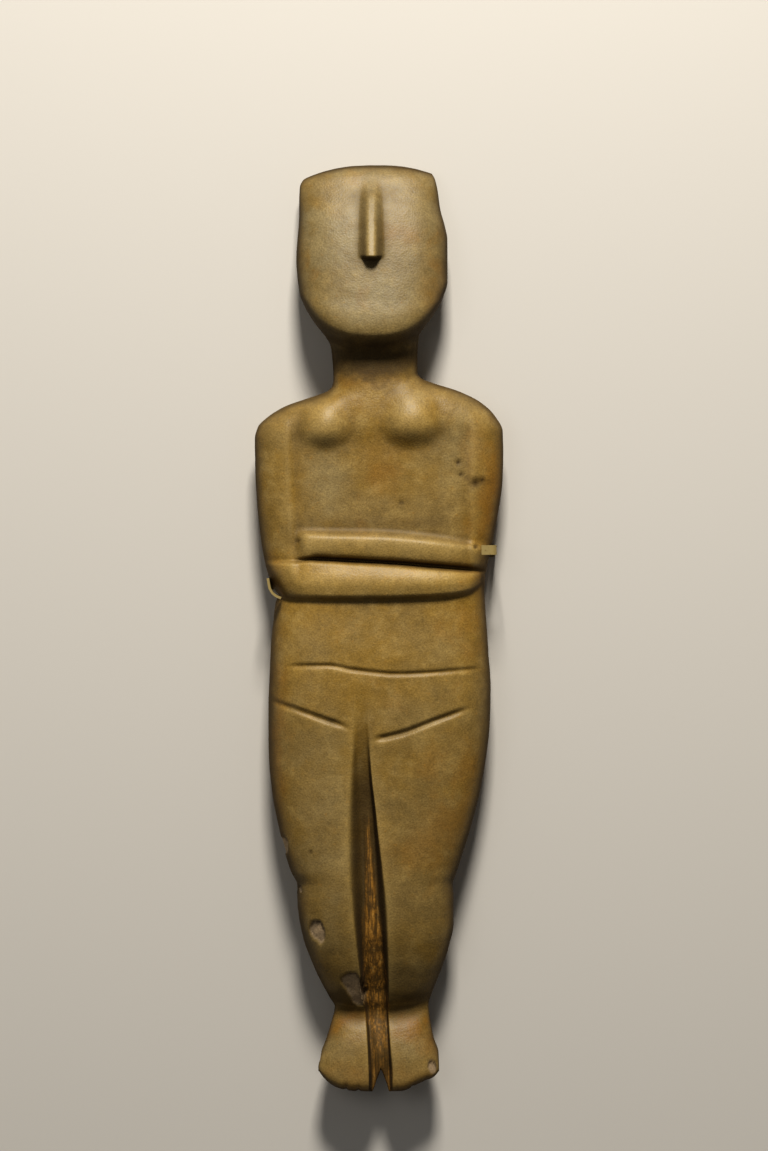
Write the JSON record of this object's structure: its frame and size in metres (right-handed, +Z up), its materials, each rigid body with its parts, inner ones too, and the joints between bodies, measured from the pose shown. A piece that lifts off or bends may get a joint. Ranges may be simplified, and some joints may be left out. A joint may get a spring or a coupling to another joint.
{
  "type": "cycladic figurine",
  "caption": "Flat marble figure with folded arms, lying on its back in a thin bent metal cradle that hooks round its elbows.",
  "frame": {"origin": "centre of the object's footprint, on the surface it lies on", "axes": "+Y from the toes to the crown, +Z up out of the chest and face, +X to the viewer's right when the head is up"},
  "size_m": [0.1206, 0.4498, 0.0411],
  "materials": {
    "marble": "worn, lightly polished marble with an ochre-tan patina, rust-coloured stains and a few pale fresh chips",
    "painted_brass": "thin brass strip painted dull cream-yellow to match the stone"
  },
  "bodies": {
    "root": {"figurine": "marble", "mount_cradle": "painted_brass"}
  },
  "joints": []
}
